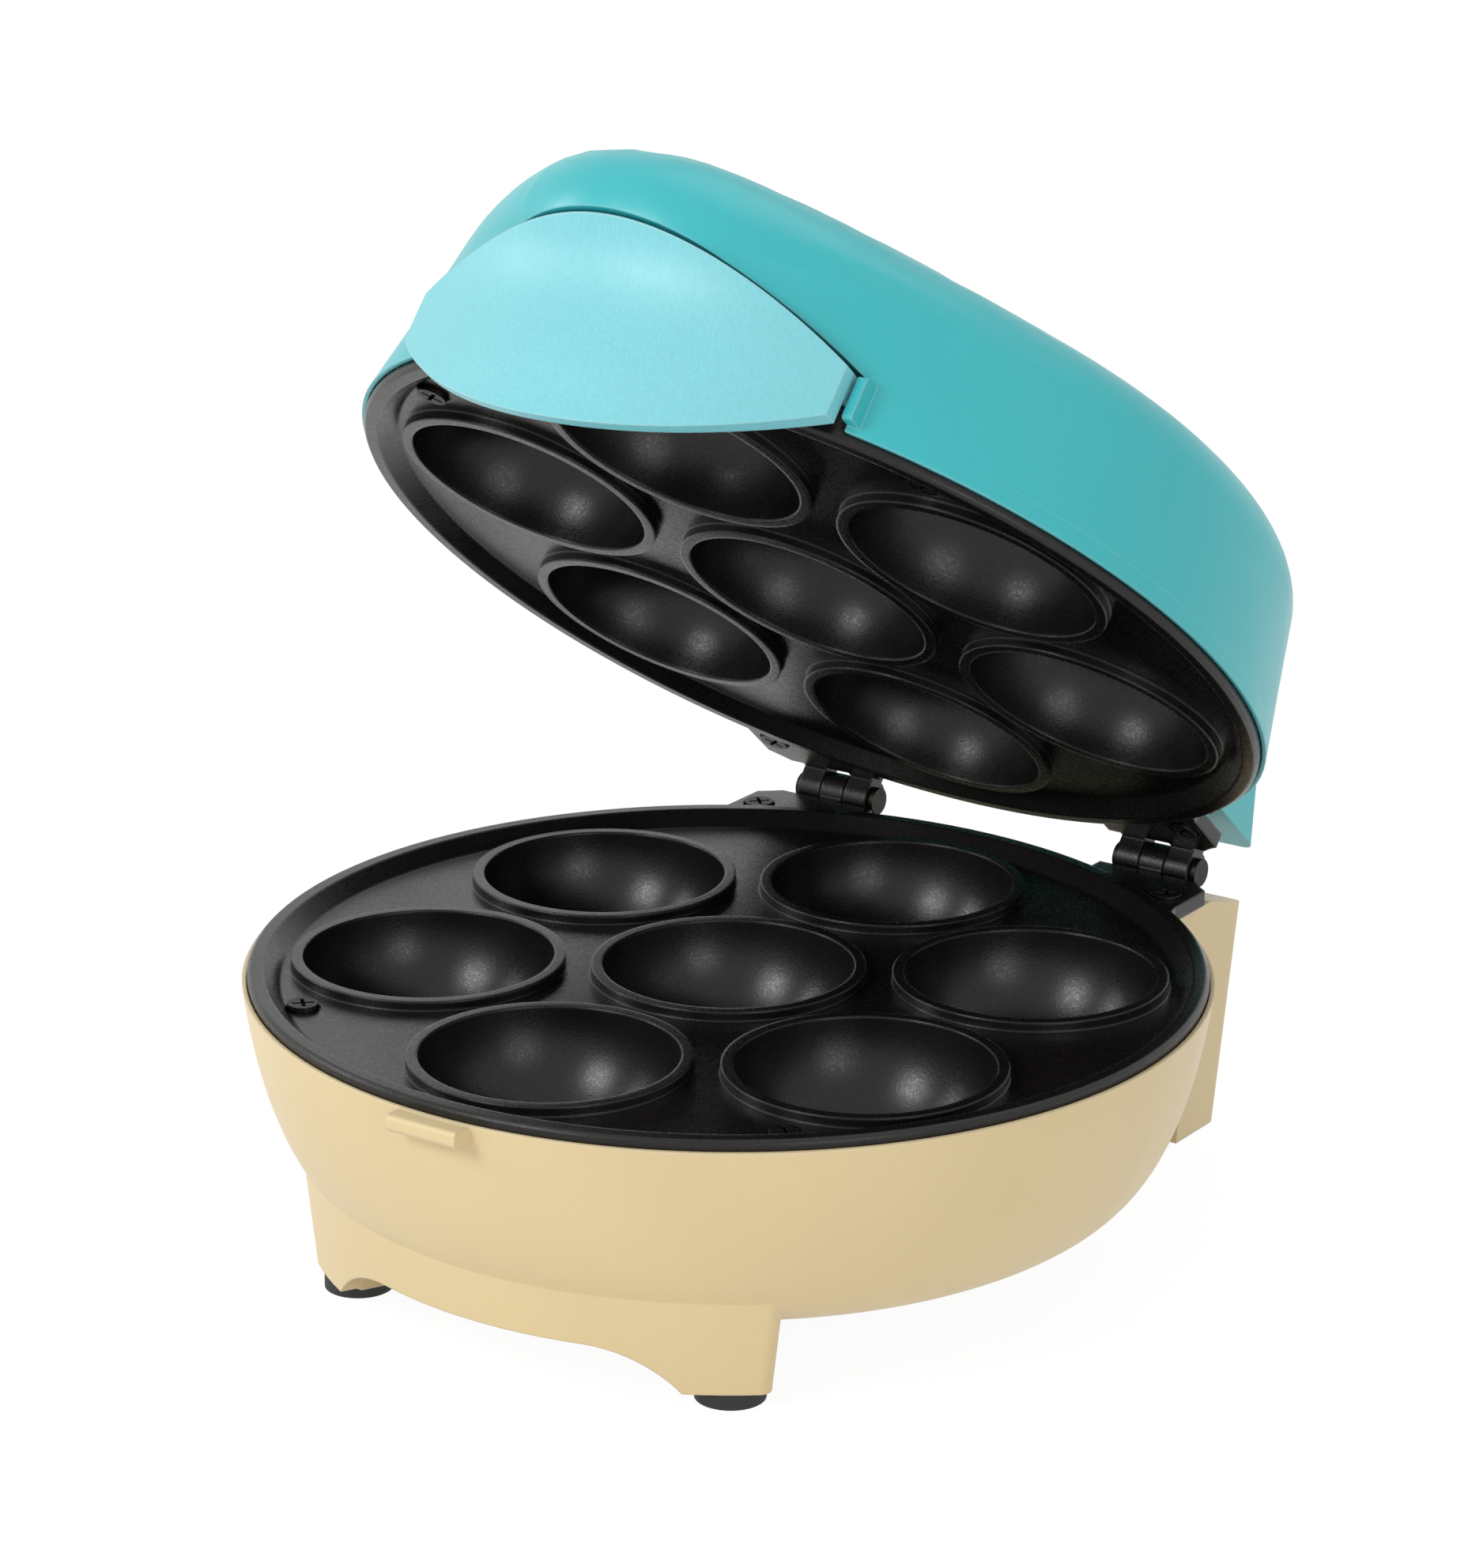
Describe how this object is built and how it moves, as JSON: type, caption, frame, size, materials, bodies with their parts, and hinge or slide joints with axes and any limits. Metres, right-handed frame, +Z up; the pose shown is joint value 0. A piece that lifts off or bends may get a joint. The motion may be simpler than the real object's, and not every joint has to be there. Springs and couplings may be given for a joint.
{
  "type": "cake pop maker",
  "caption": "Countertop cake pop maker: a round base and hinged lid with matching plates of half-ball cups, a latch handle on the lid and feet below.",
  "frame": {"origin": "centre of the plan outline at table level, with the lid half open as stored", "axes": "+Z up, -Y towards the user, +X to the right of the user's view from the rear hinge to the front, mirrored about X = 0"},
  "size_m": [0.182, 0.212, 0.2135],
  "materials": {
    "cream_shell": "semi-gloss moulded plastic",
    "lid_shell": "semi-gloss moulded plastic",
    "handle": "satin moulded plastic",
    "coated_plate": "cast aluminium with a dark non-stick coat",
    "rubber": "matte rubber",
    "steel": "plated steel",
    "element_sheath": "heat-darkened steel sheath",
    "shield_sheet": "aluminised sheet steel",
    "switch_body": "dark moulded phenolic",
    "terminal_plastic": "pale moulded nylon",
    "gland": "satin moulded plastic",
    "wire_sleeve": "woven glass and silicone sleeve",
    "red_lens": "clear tinted plastic",
    "green_lens": "clear tinted plastic"
  },
  "bodies": {
    "base": {"base_housing": "cream_shell", "rear_housing": "cream_shell", "bottom_cover": "cream_shell", "rubber_feet": "rubber", "lower_plate": "coated_plate", "lower_plate_screws": "steel", "rear_housing_screws": "steel", "bottom_cover_screws": "steel", "hinge_pins": "steel", "pin_rings": "steel", "lower_heating_element": "element_sheath", "lower_element_pins": "steel", "lower_element_clamps": "steel", "lower_clamp_screws": "steel", "lower_heat_shield": "shield_sheet", "lower_shield_screws": "steel", "thermostat": "switch_body", "thermal_cutout": "switch_body", "switch_screws": "steel", "terminal_block": "terminal_plastic", "cord_gland": "gland", "base_wiring": "wire_sleeve"},
    "lid": {"lid_shell": "lid_shell", "lid_rear_cover": "lid_shell", "rear_cover_screws": "steel", "upper_plate": "coated_plate", "upper_plate_screws": "steel", "upper_heating_element": "element_sheath", "upper_element_pins": "steel", "upper_element_clamps": "steel", "upper_clamp_screws": "steel", "upper_heat_shield": "shield_sheet", "upper_shield_screws": "steel", "power_lamp_lens": "red_lens", "ready_lamp_lens": "green_lens", "lamp_holders": "terminal_plastic", "lid_connector": "terminal_plastic", "lid_wiring": "wire_sleeve", "latch_pivot_pins": "steel"},
    "handle": {"latch_handle": "handle"}
  },
  "joints": [
    {"name": "lid_hinge", "type": "hinge", "parent": "base", "child": "lid", "pos_m": [0, 0.08476, 0.0546], "axis": [-1, 0, 0], "range_deg": [-41, 52]},
    {"name": "latch_pivot", "type": "hinge", "parent": "lid", "child": "handle", "pos_m": [0, -0.03998, 0.17708], "axis": [-1, 0, 0], "range_deg": [-9.5, 0]}
  ]
}
